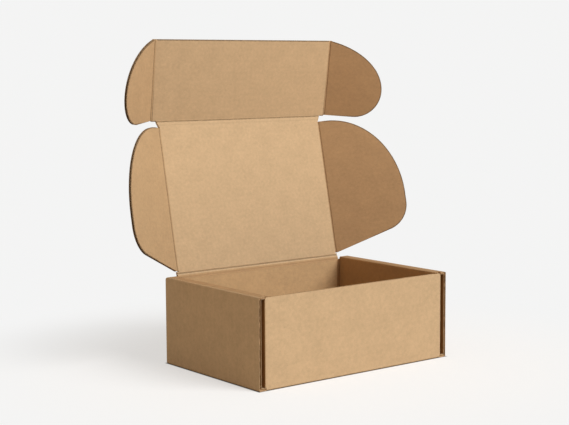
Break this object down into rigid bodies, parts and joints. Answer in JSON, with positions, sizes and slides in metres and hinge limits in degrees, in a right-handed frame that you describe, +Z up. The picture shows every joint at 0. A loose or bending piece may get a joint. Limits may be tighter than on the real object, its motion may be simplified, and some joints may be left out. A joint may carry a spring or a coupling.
{
  "type": "cardboard shipping box",
  "caption": "Open corrugated mailing box: folded tray with rolled double side walls, hinged lid with wings, and a front flap whose ears tuck into slots at the front corners.",
  "frame": {"origin": "centre of the base's underside, on the surface that the box stands on", "axes": "+X to the box's right, +Y from the front wall to the lid's hinge, +Z up"},
  "size_m": [0.373, 0.1992, 0.3403],
  "materials": {
    "kraft_board": "matte unbleached corrugated board"
  },
  "bodies": {
    "tray": {"tray": "kraft_board"},
    "lid_back_strip": {"lid_back_strip": "kraft_board"},
    "lid": {"lid": "kraft_board"},
    "lid_front_strip": {"lid_front_strip": "kraft_board"},
    "wing_left": {"wing_left": "kraft_board"},
    "wing_right": {"wing_right": "kraft_board"},
    "front_flap": {"front_flap": "kraft_board"},
    "ear_left": {"ear_left": "kraft_board"},
    "ear_right": {"ear_right": "kraft_board"}
  },
  "joints": [
    {"name": "lid_rear_crease", "type": "hinge", "parent": "tray", "child": "lid_back_strip", "pos_m": [0, 0.0801, 0.0895], "axis": [-1, 0, 0], "range_deg": [-51, 20]},
    {"name": "lid_main_crease", "type": "hinge", "parent": "lid_back_strip", "child": "lid", "pos_m": [0, 0.08235, 0.0934], "axis": [-1, 0, 0], "range_deg": [-51, 58]},
    {"name": "front_edge_crease", "type": "hinge", "parent": "lid", "child": "lid_front_strip", "pos_m": [0, 0.11543, 0.24903], "axis": [-1, 0, 0], "range_deg": [-35, 0]},
    {"name": "front_flap_crease", "type": "hinge", "parent": "lid_front_strip", "child": "front_flap", "pos_m": [0, 0.11626, 0.25294], "axis": [-1, 0, 0], "range_deg": [-35, 20]},
    {"name": "wing_left_crease", "type": "hinge", "parent": "lid", "child": "wing_left", "pos_m": [-0.1103, 0.08235, 0.0934], "axis": [0, -0.2079, -0.9781], "range_deg": [-57, 33]},
    {"name": "wing_right_crease", "type": "hinge", "parent": "lid", "child": "wing_right", "pos_m": [0.1103, 0.08235, 0.0934], "axis": [0, 0.2079, 0.9781], "range_deg": [-57, 33]},
    {"name": "ear_left_crease", "type": "hinge", "parent": "front_flap", "child": "ear_left", "pos_m": [-0.12, 0.11626, 0.25294], "axis": [0, 0.1392, -0.9903], "range_deg": [-55.5, 34.5]},
    {"name": "ear_right_crease", "type": "hinge", "parent": "front_flap", "child": "ear_right", "pos_m": [0.12, 0.11626, 0.25294], "axis": [0, -0.1392, 0.9903], "range_deg": [-55.5, 34.5]}
  ]
}
